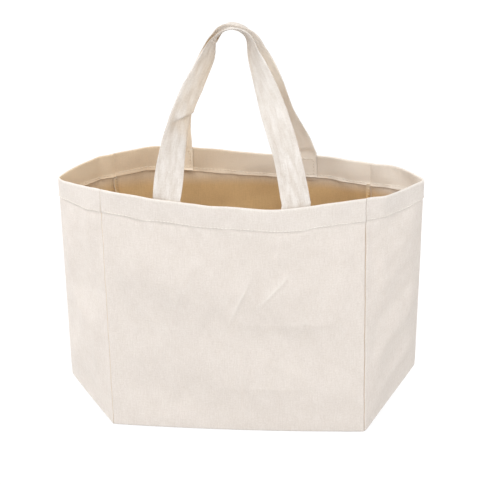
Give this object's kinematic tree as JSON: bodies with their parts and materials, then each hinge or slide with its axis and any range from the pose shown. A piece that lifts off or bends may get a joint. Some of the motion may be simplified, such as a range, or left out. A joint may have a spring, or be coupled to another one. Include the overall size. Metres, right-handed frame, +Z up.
{
  "type": "cotton lunch bag",
  "caption": "Open cotton canvas lunch bag with a flat base, side gussets creased outwards, a stitched hem and flat strap handles that swing at the rim.",
  "frame": {"origin": "middle of the base's underside, halfway between the front and back seams", "axes": "+Z up, -Y towards the front panel, +X to the right as seen from the front"},
  "size_m": [0.3202, 0.1345, 0.366],
  "materials": {
    "canvas": "matte unbleached cotton canvas",
    "seam_edge": "overlocked raw edge",
    "thread": "cotton sewing thread"
  },
  "bodies": {
    "bag": {"front_panel": "canvas", "back_panel": "canvas", "left_gusset": "canvas", "right_gusset": "canvas", "bottom_panel": "canvas", "front_handle_left_tail": "canvas", "front_handle_right_tail": "canvas", "rear_handle_left_tail": "canvas", "rear_handle_right_tail": "canvas", "front_base_seam": "seam_edge", "back_base_seam": "seam_edge", "left_base_seam": "seam_edge", "right_base_seam": "seam_edge", "front_left_seam": "seam_edge", "front_right_seam": "seam_edge", "back_left_seam": "seam_edge", "back_right_seam": "seam_edge", "front_hem_stitch": "thread", "back_hem_stitch": "thread", "left_hem_stitch": "thread", "right_hem_stitch": "thread", "front_handle_left_stitch": "thread", "front_handle_right_stitch": "thread", "rear_handle_left_stitch": "thread", "rear_handle_right_stitch": "thread"},
    "front_handle": {"front_handle_loop": "canvas"},
    "rear_handle": {"rear_handle_loop": "canvas"}
  },
  "joints": [
    {"name": "front_handle_swing", "type": "hinge", "parent": "bag", "child": "front_handle", "pos_m": [0, -0.0609, 0.228], "axis": [1, 0, 0], "range_deg": [0, 140]},
    {"name": "rear_handle_swing", "type": "hinge", "parent": "bag", "child": "rear_handle", "pos_m": [0, 0.05328, 0.228], "axis": [-1, 0, 0], "range_deg": [0, 140]}
  ]
}
